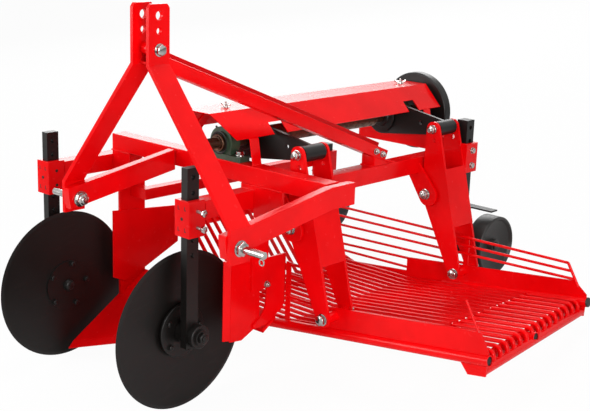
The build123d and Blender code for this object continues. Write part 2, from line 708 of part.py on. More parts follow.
def coulter(side):
    """A dished cutting disc with a flange on its inner face and the hub that runs on the axle."""
    radius, gap = disc_radius, axle_radius + running_gap
    flange, thick = hub_flange
    shank_face = shank_offset - shank[0] / 2
    rise = disc_dish
    disc = outline([(gap, -rise), (flange, -rise), (radius - 12, 0), (radius, disc_thickness / 2),
                    (radius - 12, disc_thickness), (flange, disc_thickness - rise), (gap, disc_thickness - rise)])
    inner = outline([(gap, -rise - thick), (flange, -rise - thick), (flange, -rise), (gap, -rise)])
    hub_end = shank_face - hub_side_gap
    hub = outline([(gap, disc_thickness - rise), (flange * 0.8, disc_thickness - rise), (flange * 0.8, thick),
                   (hub_radius, thick), (hub_radius, hub_end), (gap, hub_end)])
    turned = revolve(disc + inner + hub, axis=Axis.Y)
    placed = Pos(disc_x[side], disc_y, disc_radius) * Rot(Z=-90) * turned
    return placed if side == "left" else mirror(placed, about=Plane.YZ.offset(disc_x[side]))


def disc_shank(side):
    """A drilled square bar down to the axle, with the axle's nut on the outer side."""
    way = outboard(side)
    x = disc_x[side] + way * shank_offset
    bar = block((x - shank[0] / 2, x + shank[0] / 2), (shank_y - shank[1] / 2, shank_y + shank[1] / 2),
                (disc_radius - shank_drop, shank_top))
    for step in range(6):
        bar -= round_x(shank_y, shank_top - 30 - 50 * step, 8, (x - shank[0], x + shank[0]))
    inner = disc_x[side] - way * (disc_dish + hub_flange[1] + 3)
    axle = round_x(disc_y, disc_radius, axle_radius, sorted((inner, x)))
    outer = x + way * shank[0] / 2
    nut = round_x(disc_y, disc_radius, axle_nut[0], sorted((outer, outer + way * axle_nut[1])))
    return bar + axle + nut


def clamp_box(x, y, middle, size, bar):
    """A box clamp round an upright bar."""
    box = Pos(x, y, middle) * Box(*size)
    return box - Pos(x, y, middle) * Box(bar[0], bar[1], size[2] + 2)


def disc_arm(side):
    """A square tube from a disc's clamp back to the front beam."""
    x = disc_x[side] + outboard(side) * shank_offset
    span = (x - tube / 2, x + tube / 2)
    front = shank_y + clamp[1] / 2
    arm = square_tube(span, (front, disc_arm_rear_y), (disc_arm_top - tube, disc_arm_top), "y", ("high",))
    if side == "left":
        arm += block(span, (front_beam_y, disc_arm_rear_y), (disc_arm_top, beam_floor))
    return arm


def wheel(side):
    """A plain wheel: rim, web and hub, bored for its axle."""
    gap = wheel_axle_radius + running_gap
    half, hub = wheel_width / 2, wheel_hub[1] / 2
    rim = outline([(wheel_radius - wheel_rim, -half), (wheel_radius - 2, -half), (wheel_radius, 2 - half),
                   (wheel_radius, half - 2), (wheel_radius - 2, half), (wheel_radius - wheel_rim, half)])
    face = half - wheel_web[1]
    web = outline([(gap, face - wheel_web[0]), (wheel_radius - wheel_rim, face - wheel_web[0]),
                   (wheel_radius - wheel_rim, face), (gap, face)])
    boss = outline([(gap, -hub), (wheel_hub[0], -hub), (wheel_hub[0], hub), (gap, hub)])
    turned = revolve(rim + web + boss, axis=Axis.Y)
    x = wheels[side]["x"] + outboard(side) * wheel_offset
    return Pos(x, wheel_shank_y + wheel_trail, wheel_axle_z) * Rot(Z=-90 * outboard(side)) * turned


def wheel_leg(side):
    """A square bar with a trailing arm, the wheel's axle and a scraper over the wheel."""
    top = wheels[side]["top"]
    half = wheel_shank / 2
    axle_y = wheel_shank_y + wheel_trail
    bar = block((-half, half), (wheel_shank_y - half, wheel_shank_y + half), (wheel_axle_z - half, top))
    for step in range(4):
        bar -= round_x(wheel_shank_y, top - 28 - 50 * step, 8, (-wheel_shank, wheel_shank))
    arm = block((-half, 20 - half), (wheel_shank_y, axle_y + half), (wheel_axle_z - half, wheel_axle_z + half))
    axle = round_x(axle_y, wheel_axle_z, wheel_axle_radius, (10 - half, wheel_offset + wheel_hub[1] / 2 + 8))
    collar = round_x(axle_y, wheel_axle_z, wheel_hub[0], (20 - half, wheel_offset - wheel_hub[1] / 2 - 2))
    length, width, sheet = scraper
    z = wheel_axle_z + wheel_radius + scraper_gap
    rear = axle_y - scraper_lead
    plate = block((-half, wheel_offset + length / 2), (rear - width, rear), (z, z + sheet))
    plate += block((-half, half), (wheel_shank_y + half, rear - width + 1), (z, z + sheet))
    leg = bar + arm + axle + collar + plate
    return Pos(wheels[side]["x"]) * (leg if side == "left" else mirror(leg, about=Plane.YZ))


# ---------------------------------------------------------------- digging parts

def share_z(y):
    """Height of the share's underside."""
    return share_tip[2] + (y - share_tip[1]) * tan(radians(share_slope))


def above_share(x, y, top):
    """A block whose foot is cut to the share's top."""
    sheet = share_sheet / cos(radians(share_slope))
    foot = [(y[0], share_z(y[0]) + sheet), (y[0], top), (y[1], top), (y[1], share_z(y[1]) + sheet)]
    return sideways(outline(foot), x)


plate_y = (front_beam_y, front_beam_y + hanger_plate[0])
leg_right_x = (share_tip[0], share_tip[0] + leg_plate)
leg_left_x = (cheek_x + cheek_sheet, cheek_x + cheek_sheet + leg_plate)


def share():
    """A flat blade between the discs, raked back to the left and carried on behind the left disc."""
    plan = [share_tip[:2], share_point, (share_point[0], share_heel_y), (leg_left_x[1], share_heel_y),
            (leg_left_x[1], share_back_y), (share_tip[0], share_back_y)]
    column = extrude(outline(plan), amount=share_back_y)
    sheet = share_sheet / cos(radians(share_slope))
    low, high = share_tip[1] - 50, share_back_y + 50
    slab = [(low, share_z(low)), (high, share_z(high)), (high, share_z(high) + sheet), (low, share_z(low) + sheet)]
    blade = column & sideways(outline(slab), (share_tip[0] - 1, leg_left_x[1] + 1))
    front = blade.faces().sort_by(Axis.Y)[0]
    edge = front.edges().sort_by(SortBy.LENGTH)[-2:].sort_by(Axis.Z)[-1]
    top = blade.faces().sort_by(SortBy.AREA)[-2:].sort_by(Axis.Z)[-1]
    return chamfer(edge, share_bevel, share_sheet * 0.9, reference=top)


def leg_left():
    """The plate under the front beam that carries the cheek and its bracket."""
    front = plate_y[1]
    rear = leg_left_outline[0][0]
    shape = outline([(front, beam_floor), (rear, beam_floor), *leg_left_outline])
    beam = block((side_beam_x, side_beam_x + tube), (front - 1, rear + 1), (beam_floor - tube, beam_floor + 1))
    bolt = round_x(*cheek_bolt, (leg_left_x[0] - 1, leg_left_x[1] + 1))
    return sideways(shape, leg_left_x) - beam - bolt


def cheek():
    """The plate beside the left disc with its front edge bent towards the disc."""
    x = (cheek_x, cheek_x + cheek_sheet)
    bend, along, aside = cheek_bend
    lip = [(x[0], bend + 1), (x[0] - aside, bend - along), (x[0] - aside + cheek_sheet, bend - along - 3),
           (x[1], bend - 1)]
    bent = extrude(outline(lip), amount=cheek_lip_z[1] - cheek_lip_z[0])
    return sideways(outline(cheek_outline), x) + Pos(0, 0, cheek_lip_z[0]) * bent


def cheek_bracket():
    """The curved plate behind the leg, from the cheek's lower corner down and back to the share's heel."""
    sheet = share_sheet / cos(radians(share_slope))
    foot = [(y, share_z(y) + sheet) for y in reversed(bracket_foot_y)]
    return sideways(outline([*bracket_outline, *foot]), (leg_left_x[0], leg_left_x[0] + bracket_sheet))


def moldboard():
    """The tall plate beside the right disc that turns the ridge in towards the sieve."""
    return sideways(outline(moldboard_outline), (leg_right_x[1], leg_right_x[1] + cheek_sheet))


def right_long_beam():
    """The light tube from the right leg back to the right wheel's clamp, with its cross stub."""
    x, size, top = right_beam
    y = (right_beam_front, rear_beam_y + right_beam_tail)
    beam = block((x, x + size), y, (top - size, top))
    stub = block((leg_right_x[1], x), (y[0], y[0] + size), (top - size, top))
    bore = block((x + 4, x + size - 4), (y[0] + 4, y[1] + 1), (top - size + 4, top - 4))
    return beam + stub - bore


# ---------------------------------------------------------------- assembly

nodes = {}
for name, side in (("left", 1), ("right", -1)):
    nodes[f"mast_{name}"] = mast_leg(side)
    nodes[f"lower_arm_{name}"] = lower_arm(side)
    nodes[f"hitch_pin_{name}"] = hitch_pin(side)
nodes["mast_spacer"] = mast_spacer()

beam_y = (front_beam_y, front_beam_y + tube)
rear_y = (rear_beam_y, rear_beam_y + tube)
left_arm_side = disc_x["left"] + shank_offset + tube / 2
front_beam_right = disc_x["right"] - shank_offset + tube / 2
nodes["front_beam"] = square_tube((front_beam_right, arm_inner), beam_y, (beam_floor, beam_top), "x")
nodes["side_beam"] = square_tube((side_beam_x, side_beam_x + tube), (plate_y[1], rear_y[1]),
                                 (beam_floor - tube, beam_floor), "y")
nodes["rear_beam"] = square_tube(rear_beam_x, rear_y, (beam_floor, beam_top), "x")
nodes["hanger_plate"] = block((left_arm_side, hanger_plate[1]), plate_y, (beam_floor - hanger_plate[2], beam_floor))
nodes["hanger_box"] = square_tube((front_beam_right, front_beam_right + hanger_box[0]), beam_y,
                                  (beam_floor - hanger_box[1], beam_floor), "x")
nodes["right_beam"] = right_long_beam()
nodes["stay_post"] = stay_post()
nodes["top_stay"] = stay() - nodes["mast_left"] - nodes["mast_right"] - nodes["mast_spacer"] - nodes["stay_post"]

nodes["bearing_front"] = bearing(front_beam_y + tube / 2)
nodes["bearing_rear"] = bearing(rear_beam_y + tube / 2)
nodes["shaft_cover"] = shaft_cover()
nodes["cover_hoop_front"] = cover_hoop(front_beam_y + tube / 2)
nodes["cover_hoop_rear"] = cover_hoop(rear_beam_y + tube / 2)
nodes["drive_shaft"] = drive_shaft()
nodes["flywheel"] = flywheel_disc()

for name, front_y in zip(("front", "rear"), rocker_y):
    nodes[f"pivot_bracket_{name}"] = pivot_bracket(front_y)
    nodes[f"rocker_{name}"] = rocker(front_y)
    nodes[f"connecting_rod_{name}"] = connecting_rod(front_y)

for side in ("near", "far"):
    nodes[f"sieve_pipe_{side}"] = side_pipe(side)
    nodes[f"sieve_wall_{side}"] = side_wall(side)
nodes["sieve_fence_near"] = near_fence_rods()
nodes["sieve_fence_far"] = far_fence_rods() - nodes["sieve_wall_far"]
nodes["sieve_bars"] = Compound(floor_bars())
nodes["sieve_end_pipes"] = end_pipes() - nodes["sieve_wall_near"] - nodes["sieve_wall_far"]
nodes["sieve_cross_bars"] = cross_bars() - nodes["sieve_end_pipes"]
nodes["sieve_rods"] = Compound([rod - nodes["sieve_end_pipes"] for rod in floor_rods()])

wheel_bar = (wheel_shank, wheel_shank)
wheel_box = (wheel_shank + 2 * wheel_clamp_wall, wheel_shank + 2 * wheel_clamp_wall, wheel_clamp_height)
for side in ("left", "right"):
    nodes[f"disc_{side}"] = coulter(side)
    nodes[f"disc_shank_{side}"] = disc_shank(side)
    shank_x = disc_x[side] + outboard(side) * shank_offset
    nodes[f"disc_clamp_{side}"] = clamp_box(shank_x, shank_y, clamp_middle, clamp, shank)
    nodes[f"disc_arm_{side}"] = disc_arm(side)
    nodes[f"wheel_{side}"] = wheel(side)
    nodes[f"wheel_leg_{side}"] = wheel_leg(side)
    nodes[f"wheel_clamp_{side}"] = clamp_box(wheels[side]["x"], wheel_shank_y, wheels[side]["clamp"],
                                             wheel_box, wheel_bar)

nodes["share"] = share()
nodes["leg_left"] = leg_left()
nodes["leg_right"] = above_share(leg_right_x, leg_right_y, beam_floor - hanger_box[1])
nodes["cheek"] = cheek()
nodes["cheek_bracket"] = cheek_bracket()
nodes["moldboard"] = moldboard()

# Parked, the machine leans back until the wheels stand on the discs' floor.
across_axles = wheel_shank_y + wheel_trail - disc_y
up_axles = wheel_axle_z - disc_radius
park_angle = degrees(atan2(up_axles, across_axles)
                     + asin((disc_radius - wheel_radius) / hypot(across_axles, up_axles)))
parked = Rot(X=-park_angle)
box = Compound([parked * solid for solid in nodes.values()]).bounding_box()
rest = Pos(-(box.min.X + box.max.X) / 2, -(box.min.Y + box.max.Y) / 2, -box.min.Z) * parked

os.makedirs("parts", exist_ok=True)
for name, solid in nodes.items():
    export_step(rest * solid, f"parts/{name}.step")
print(len(nodes), "nodes, parked at", round(park_angle, 2), "degrees,", round(box.size.X), round(box.size.Y),
      round(box.size.Z))
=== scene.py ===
import json
from math import cos, inf, pi, radians, sin, sqrt

import bmesh
import bpy
from mathutils import Matrix, Vector

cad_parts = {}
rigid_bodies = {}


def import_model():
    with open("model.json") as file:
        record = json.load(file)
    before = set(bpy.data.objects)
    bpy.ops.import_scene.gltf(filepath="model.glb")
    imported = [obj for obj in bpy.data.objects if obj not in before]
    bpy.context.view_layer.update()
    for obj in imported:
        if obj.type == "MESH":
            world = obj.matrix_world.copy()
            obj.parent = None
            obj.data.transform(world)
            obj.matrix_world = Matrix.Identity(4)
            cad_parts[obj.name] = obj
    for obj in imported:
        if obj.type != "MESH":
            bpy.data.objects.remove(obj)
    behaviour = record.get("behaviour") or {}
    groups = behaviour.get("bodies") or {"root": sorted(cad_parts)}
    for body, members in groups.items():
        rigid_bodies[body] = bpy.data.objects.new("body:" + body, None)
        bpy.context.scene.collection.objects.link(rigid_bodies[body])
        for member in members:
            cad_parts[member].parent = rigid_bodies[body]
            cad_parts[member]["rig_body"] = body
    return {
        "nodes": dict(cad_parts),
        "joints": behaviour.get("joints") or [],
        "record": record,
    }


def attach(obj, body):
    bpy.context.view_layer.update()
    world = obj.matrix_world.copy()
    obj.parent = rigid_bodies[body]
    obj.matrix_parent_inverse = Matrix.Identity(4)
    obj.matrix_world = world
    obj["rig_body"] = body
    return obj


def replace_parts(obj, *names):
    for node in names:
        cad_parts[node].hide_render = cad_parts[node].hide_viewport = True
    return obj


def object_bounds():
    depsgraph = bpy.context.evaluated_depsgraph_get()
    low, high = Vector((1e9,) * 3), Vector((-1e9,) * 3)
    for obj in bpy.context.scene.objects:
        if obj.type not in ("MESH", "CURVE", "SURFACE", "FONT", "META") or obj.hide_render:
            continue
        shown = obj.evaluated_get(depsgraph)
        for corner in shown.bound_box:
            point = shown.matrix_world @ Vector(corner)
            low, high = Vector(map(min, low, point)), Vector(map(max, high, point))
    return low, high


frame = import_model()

cad_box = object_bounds()

# ---- the level machine -----------------------------------------------------------------
# Pieces are made in the machine's own level axes, in millimetres: x to its left, y to the
# rear, z up from under the discs, with the hitch pins at y = 0 and z = 668.  The parked
# machine leans back, and the hitch pins and a rocker's axis say how far.

joints = {joint["name"]: joint for joint in frame["joints"]}
mounts = {mount["name"]: mount for mount in frame["record"]["mounts"]}
hitch = (Vector(mounts["lower_pin_left"]["pos_m"]) + Vector(mounts["lower_pin_right"]["pos_m"])) / 2
to_left = Vector((1, 0, 0))
to_rear = Vector(joints["rocker_front_swing"]["axis"]).normalized()
to_rear *= 1 if to_rear.y > 0 else -1
to_top = to_left.cross(to_rear)
PINS = 668
MM = 0.001

lean = Matrix((to_left, to_rear, to_top)).transposed().to_4x4()
level = Matrix.Translation(hitch) @ lean @ Matrix.Scale(MM, 4) @ Matrix.Translation((0, 0, -PINS))
unlevel = level.inverted()


def points_of(name):
    """A CAD node's corners on the level machine."""
    return [unlevel @ corner.co for corner in frame["nodes"][name].data.vertices]


def box_of(points):
    """The lowest and highest corners of the box round some points."""
    return [Vector([reach(point[axis] for point in points) for axis in range(3)])
            for reach in (min, max)]


def span(name):
    """The lowest and highest corners of a CAD node on the level machine."""
    return box_of(points_of(name))


def centre(joint):
    """A point of a joint's axis on the level machine."""
    return unlevel @ Vector(joints[joint]["pos_m"])


# ---- mixing finishes -------------------------------------------------------------------

class Value:
    """A socket that can stand in sums, each of which adds a Math node."""

    def __init__(self, finish, socket):
        self.finish = finish
        self.socket = socket

    def maths(self, operation, *terms):
        node = self.finish.add("ShaderNodeMath", {"operation": operation}, dict(enumerate(terms)))
        return Value(self.finish, node.outputs[0])

    def __add__(self, other):
        return self.maths("ADD", self, other)

    def __sub__(self, other):
        return self.maths("SUBTRACT", self, other)

    def __rsub__(self, other):
        return self.maths("SUBTRACT", other, self)

    def __mul__(self, other):
        return self.maths("MULTIPLY", self, other)

    def __gt__(self, other):
        return self.maths("GREATER_THAN", self, other)

    __radd__ = __add__
    __rmul__ = __mul__

    def clear_of(self, low, high):
        """0 up to low, 1 from high on, and a smooth ramp between them."""
        settings = {"interpolation_type": "SMOOTHSTEP"}
        node = self.finish.add("ShaderNodeMapRange", settings, {0: self, 1: low, 2: high})
        return Value(self.finish, node.outputs[0])


class Finish:
    """The nodes that mix one material, or the world's light."""

    def __init__(self, name, kind=bpy.data.materials):
        self.holder = kind.new(name)
        self.holder.use_nodes = True
        self.tree = self.holder.node_tree
        self.tree.nodes.clear()

    def add(self, kind, settings, inputs):
        """Add a node: its settings first, then the values or links of its sockets."""
        node = self.tree.nodes.new(kind)
        for name, value in settings.items():
            setattr(node, name, value)
        for name, value in inputs.items():
            socket = node.inputs[name]
            if isinstance(value, Value):
                self.tree.links.new(value.socket, socket)
            elif isinstance(value, bpy.types.NodeSocket):
                self.tree.links.new(value, socket)
            else:
                socket.default_value = value
        return node

    def noise(self, scale, detail=3, stretch=None):
        """Noise from 0 to 1 over the object's own coordinates, drawn out where stretch is given."""
        where = self.add("ShaderNodeTexCoord", {}, {}).outputs["Object"]
        if stretch:
            inputs = {"Vector": where, "Scale": stretch}
            where = self.add("ShaderNodeMapping", {}, inputs).outputs[0]
        inputs = {"Vector": where, "Scale": scale, "Detail": detail}
        node = self.add("ShaderNodeTexNoise", {}, inputs)
        return Value(self, node.outputs[0])

    def blend(self, amount, first, second):
        """A colour between two, by an amount from 0 to 1."""
        settings = {"data_type": "RGBA"}
        colours = {}
        for place, colour in ((6, first), (7, second)):
            colours[place] = colour if isinstance(colour, bpy.types.NodeSocket) else (*colour, 1)
        return self.add("ShaderNodeMix", settings, {0: amount, **colours}).outputs[2]

    def bump(self, height, strength, distance, under=None):
        """A normal raised by a height, on top of another bump's where one is given."""
        inputs = {"Height": height, "Strength": strength, "Distance": distance}
        if under:
            inputs["Normal"] = under
        return self.add("ShaderNodeBump", {}, inputs).outputs[0]

    def surface(self, inputs):
        """The shader itself, and the material that it finishes."""
        shader = self.add("ShaderNodeBsdfPrincipled", {}, inputs)
        self.add("ShaderNodeOutputMaterial", {}, {0: shader.outputs[0]})
        return self.holder


def enamel(name, colour, deep, shine, gloss):
    """Sprayed paint: slightly uneven in depth, with orange peel and a film of fine dust."""
    paint = Finish(name)
    depth = paint.noise(7, 4).clear_of(0.3, 0.7)
    dust = paint.noise(45, 5).clear_of(0.52, 0.86)
    peel = paint.noise(420, 2)
    runs = paint.noise(30, 3, stretch=(1, 1, 0.15))
    body = paint.blend(depth, deep, colour)
    tint = paint.blend(dust * 0.03, body, tuple(0.8 * part + 0.1 for part in colour))
    rough = shine + dust * 0.1 + runs * 0.05
    normal = paint.bump(runs, 0.05, 0.0012, paint.bump(peel, 0.06, 0.0004))
    return paint.surface({"Base Color": tint, "Roughness": rough, "Normal": normal,
                          "Specular IOR Level": gloss})


def scoured_black(name, colour, worn, gloss):
    """Black paint on handled steel: faint clouds, rubbed streaks and scuffs."""
    paint = Finish(name)
    cloud = paint.noise(9, 4)
    scuff = paint.noise(70, 5, stretch=(1, 0.2, 1)).clear_of(0.55, 0.75)
    grain = paint.noise(300, 2)
    tint = paint.blend(scuff * 0.3 + cloud * 0.3, colour, worn)
    rough = 0.34 + cloud * 0.16 - scuff * 0.08
    normal = paint.bump(cloud, 0.2, 0.003, paint.bump(grain, 0.12, 0.0005))
    return paint.surface({"Base Color": tint, "Roughness": rough, "Normal": normal,
                          "Specular IOR Level": gloss})


def plated(name, colour, dull):
    """Zinc plate: bright metal with pale blooms and fine scratches."""
    metal = Finish(name)
    bloom = metal.noise(60, 3).clear_of(0.4, 0.8)
    scratch = metal.noise(500, 2, stretch=(1, 1, 0.1))
    tint = metal.blend(bloom, colour, dull)
    rough = 0.14 + bloom * 0.12
    normal = metal.bump(scratch, 0.08, 0.0002)
    return metal.surface({"Base Color": tint, "Roughness": rough, "Normal": normal,
                          "Metallic": 1.0})


def rolled_steel(name, colour, rust):
    """Bare steel browned by rust, brighter where it has been rubbed."""
    metal = Finish(name)
    spots = metal.noise(60, 5).clear_of(0.4, 0.7)
    grain = metal.noise(350, 3)
    tint = metal.blend(spots, colour, rust)
    normal = metal.bump(grain, 0.3, 0.0005)
    return metal.surface({"Base Color": tint, "Roughness": 0.3 + spots * 0.35, "Normal": normal,
                          "Metallic": 1 - spots * 0.6})


# Each enamel has its colour, a deeper one, its roughness and its gloss; each black its colour,
# a worn one and its gloss; each metal its colour and a second one.
finishes = {
    "red_paint": enamel("red_enamel", (0.80, 0.0010, 0.0026), (0.70, 0.0005, 0.0016), 0.2, 0.14),
    "black_paint": scoured_black("satin_black", (0.003, 0.0023, 0.002), (0.012, 0.0095, 0.008),
                                 0.3),
    "wheel_grey": scoured_black("wheel_black", (0.014, 0.013, 0.012), (0.035, 0.032, 0.03), 0.35),
    "bearing_green": enamel("bearing_enamel", (0.04, 0.075, 0.042), (0.022, 0.045, 0.026),
                            0.35, 0.4),
    "zinc": plated("zinc_plate", (0.4, 0.39, 0.375), (0.54, 0.53, 0.51)),
    "bare_steel": rolled_steel("browned_steel", (0.16, 0.09, 0.055), (0.05, 0.02, 0.011)),
}

slot_of = {name: node.material_slots[0].material.name.split(".")[0]
           for name, node in frame["nodes"].items()}
for name, node in frame["nodes"].items():
    for slot in node.material_slots:
        slot.material = finishes[slot_of[name]]


# ---- modelling by hand -----------------------------------------------------------------

LEFT, RIGHT = Vector((1, 0, 0)), Vector((-1, 0, 0))
FRONT, REAR = Vector((0, -1, 0)), Vector((0, 1, 0))
UP = Vector((0, 0, 1))


def deselect():
    bpy.ops.object.select_all(action="DESELECT")


def active(*pieces):
    """Select some pieces and nothing else, the first as the active one."""
    deselect()
    for piece in pieces:
        piece.select_set(True)
    bpy.context.view_layer.objects.active = pieces[0]


def joined(pieces):
    """Several pieces made into one."""
    active(*pieces)
    if len(pieces) > 1:
        bpy.ops.object.join()
    return pieces[0]


def copied(name, mesh):
    """A new object that shows its own copy of a mesh."""
    piece = bpy.data.objects.new(name, mesh.copy())
    bpy.context.scene.collection.objects.link(piece)
    return piece


def baked(piece, matrix=Matrix.Identity(4)):
    """Put a piece's place into its mesh, moved on by a matrix."""
    piece.data.transform(matrix @ piece.matrix_world)
    piece.matrix_world = Matrix.Identity(4)
    return piece


def pick(piece, wanted):
    """In edit mode, select the faces whose middle and normal are wanted, and no others."""
    bpy.ops.mesh.select_mode(type="FACE")
    bpy.ops.mesh.select_all(action="DESELECT")
    shape = bmesh.from_edit_mesh(piece.data)
    for face in shape.faces:
        face.select_set(wanted(face.calc_center_median(), face.normal))
    bmesh.update_edit_mesh(piece.data)


def apply_all(piece):
    active(piece)
    for modifier in list(piece.modifiers):
        bpy.ops.object.modifier_apply(modifier=modifier.name)


def soften(piece, width, angle=38, smooth=32, segments=2):
    """Round a piece's edges sharper than an angle and shade it smooth between them."""
    edges = piece.modifiers.new("edges", "BEVEL")
    edges.width = width
    edges.segments = segments
    edges.limit_method = "ANGLE"
    edges.angle_limit = radians(angle)
    apply_all(piece)
    active(piece)
    bpy.ops.object.shade_smooth_by_angle(angle=radians(smooth))


def finished(piece, name, body, slot):
    """Name a piece, stand it on the parked machine and let it ride on its body."""
    piece.name = name
    piece.data.name = name
    baked(piece, level)
    piece.data.materials.clear()
    piece.data.materials.append(finishes[slot])
    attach(piece, body)
    return piece


SEAM = 0.00002             # corners nearer than this, in metres, are merged
FLAT = radians(0.4)        # faces that meet at less than this are merged


def rounded(name, width, segments=2):
    """A copy of a CAD node with its edges rounded off, which is shown instead of it."""
    source = frame["nodes"][name]
    piece = copied(name + "_dressed", source.data)
    active(piece)
    bpy.ops.object.mode_set(mode="EDIT")
    bpy.ops.mesh.select_all(action="SELECT")
    bpy.ops.mesh.remove_doubles(threshold=SEAM)
    bpy.ops.mesh.dissolve_limited(angle_limit=FLAT)
    bpy.ops.object.mode_set(mode="OBJECT")
    soften(piece, width * MM, segments=segments)
    weighted = piece.modifiers.new("flats", "WEIGHTED_NORMAL")
    weighted.keep_sharp = True
    apply_all(piece)
    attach(piece, source["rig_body"])
    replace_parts(piece, name)
    return piece


# ---- edges of the plates and bars ------------------------------------------------------

plates = [name for name in frame["nodes"] if name.startswith(("mast_l", "mast_r", "lower_arm"))]
for name in plates:
    rounded(name, 3)
for name in ("front_beam", "side_beam", "rear_beam", "hanger_box", "right_beam"):
    rounded(name, 5, segments=3)
for name in ("hanger_plate", "leg_left", "leg_right", "cheek", "cheek_bracket", "moldboard"):
    rounded(name, 1.6)
for side in ("left", "right"):
    for name in ("disc_shank", "disc_clamp", "wheel_leg", "wheel_clamp", "disc_arm"):
        rounded(f"{name}_{side}", 2.2)
for end in ("front", "rear"):
    for name in ("rocker", "pivot_bracket", "connecting_rod", "bearing", "cover_hoop"):
        rounded(f"{name}_{end}", 1.8)

# ---- the stay and its post -------------------------------------------------------------

def start(kind, **size):
    """A new primitive, the only thing selected, with its edit mode open."""
    deselect()
    getattr(bpy.ops.mesh, f"primitive_{kind}_add")(**size)
    bpy.ops.object.mode_set(mode="EDIT")
    bpy.ops.mesh.select_mode(type="VERT")
    return bpy.context.object


def block(low, high):
    """A box between two corners, its place in its mesh and its edit mode open."""
    low, high = Vector(low), Vector(high)
    piece = start("cube", size=1, location=(low + high) / 2, scale=high - low)
    bpy.ops.object.mode_set(mode="OBJECT")
    baked(piece)
    bpy.ops.object.mode_set(mode="EDIT")
    return piece


# The CAD's stay and post are upside down, so both are replaced.  The stay runs from between the
# mast's ears down to its post, between the middles of its node's two ends.  It is a channel that
# is open at the top, with its left wall lower than its right one.
STAY_WIDE, STAY_TALL, STAY_SHEET = 58, 60, 6
STAY_STEP = 20             # from the right wall's top down to the left one's
END_DEPTH = 30             # of the stretch that counts as an end

stay_points = points_of("top_stay")
front_y, rear_y = [corner.y for corner in box_of(stay_points)]
stay_ends = [[point for point in stay_points if point.y < front_y + END_DEPTH],
             [point for point in stay_points if point.y > rear_y - END_DEPTH]]
stay_front, stay_rear = [sum(box_of(end), Vector()) / 2 for end in stay_ends]
stay_way = (stay_rear - stay_front).normalized()
stay_side = Vector((stay_way.y, -stay_way.x, 0)).normalized()
stay_top = stay_side.cross(stay_way)
stay_frame = Matrix((stay_side, stay_way, stay_top)).transposed().to_4x4()
stay_length = (stay_rear - stay_front).length

inside, floor_top = STAY_WIDE / 2 - STAY_SHEET, STAY_SHEET - STAY_TALL / 2
stay = block((-STAY_WIDE / 2, 0, -STAY_TALL / 2), (STAY_WIDE / 2, stay_length, STAY_TALL / 2))
for place, way in (((inside, 0, 0), LEFT), ((-inside, 0, 0), LEFT), ((0, 0, floor_top), UP)):
    bpy.ops.mesh.select_all(action="SELECT")
    bpy.ops.mesh.bisect(plane_co=place, plane_no=way)
pick(stay, lambda middle, normal: normal.z > 0.9 and abs(middle.x) < inside)
bpy.ops.mesh.extrude_region_move(TRANSFORM_OT_translate={"value": (0, 0, STAY_SHEET - STAY_TALL)})
pick(stay, lambda middle, normal: (abs(normal.y) > 0.9 and abs(middle.x) < inside
                                   and middle.z > floor_top))
bpy.ops.mesh.delete(type="FACE")
pick(stay, lambda middle, normal: normal.z > 0.9 and middle.x > inside and middle.z > 0)
bpy.ops.transform.translate(value=(0, 0, -STAY_STEP))
bpy.ops.mesh.select_all(action="SELECT")
bpy.ops.mesh.remove_doubles(threshold=0.01)
bpy.ops.mesh.normals_make_consistent(inside=False)
bpy.ops.object.mode_set(mode="OBJECT")
stay.matrix_world = Matrix.Translation(stay_front) @ stay_frame
soften(stay, 1.6)
# The trough's darker red is painted shade.
trough = [polygon.index for polygon in stay.data.polygons
          if abs(polygon.center.x) < inside + 0.5 and polygon.center.z > floor_top - 0.5
          and abs(polygon.normal.y) < 0.5 and polygon.normal.x * polygon.center.x <= 0]
finished(stay, "stay_channel", "frame", "red_paint")
stay.data.materials.append(
    enamel("painted_shade_red", (0.6, 0.001, 0.0025), (0.5, 0.0006, 0.0015), 0.35, 0.12))
for index in trough:
    stay.data.polygons[index].material_index = 1
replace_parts(stay, "top_stay")

post_low, post_high = span("stay_post")
beam_top = span("side_beam")[1].z
post = block((post_low.x, post_low.y, beam_top), post_high)
bpy.ops.mesh.select_all(action="SELECT")
underside = stay_front - stay_top * (STAY_TALL / 2 - 1)
bpy.ops.mesh.bisect(plane_co=underside, plane_no=stay_top, clear_outer=True, use_fill=True)
bpy.ops.object.mode_set(mode="OBJECT")
soften(post, 4)
finished(post, "stay_box", "frame", "red_paint")
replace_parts(post, "stay_post")

# ---- turned and hexagonal pieces -------------------------------------------------------

def turned(profile, corners=32, through=False):
    """A piece drawn up Z ring by ring through radii and heights; through leaves it bored."""
    radius, height = profile[0]
    piece = start("circle", vertices=corners, radius=radius, location=(0, 0, height))
    for (before, low), (after, high) in zip(profile, profile[1:]):
        bpy.ops.mesh.extrude_region_move(TRANSFORM_OT_translate={"value": (0, 0, high - low)})
        widening = (after / before, after / before, 1)
        bpy.ops.transform.resize(value=widening, center_override=(0, 0, 0))
    bpy.ops.mesh.select_all(action="DESELECT")
    bpy.ops.mesh.select_non_manifold()
    if through:
        bpy.ops.mesh.bridge_edge_loops()
    else:
        bpy.ops.mesh.fill_holes(sides=corners)
    bpy.ops.mesh.select_all(action="SELECT")
    bpy.ops.mesh.normals_make_consistent(inside=False)
    bpy.ops.object.mode_set(mode="OBJECT")
    return piece


def hexagon(across, low, height):
    """A hexagon with its outer corners taken off."""
    corner = across / sqrt(3)
    edge = height * 0.14
    return turned([(corner, low), (corner, low + height - edge), (corner * 0.84, low + height)], 6)


def threads(radius, low, high, pitch=2.5):
    """A stud's threaded end, chamfered at its tip."""
    profile = [(radius, low)]
    while profile[-1][1] < high - pitch:
        profile += [(radius * 0.88, profile[-1][1] + pitch / 2), (radius, profile[-1][1] + pitch)]
    return turned(profile + [(radius * 0.8, high)], 20)


patterns = []


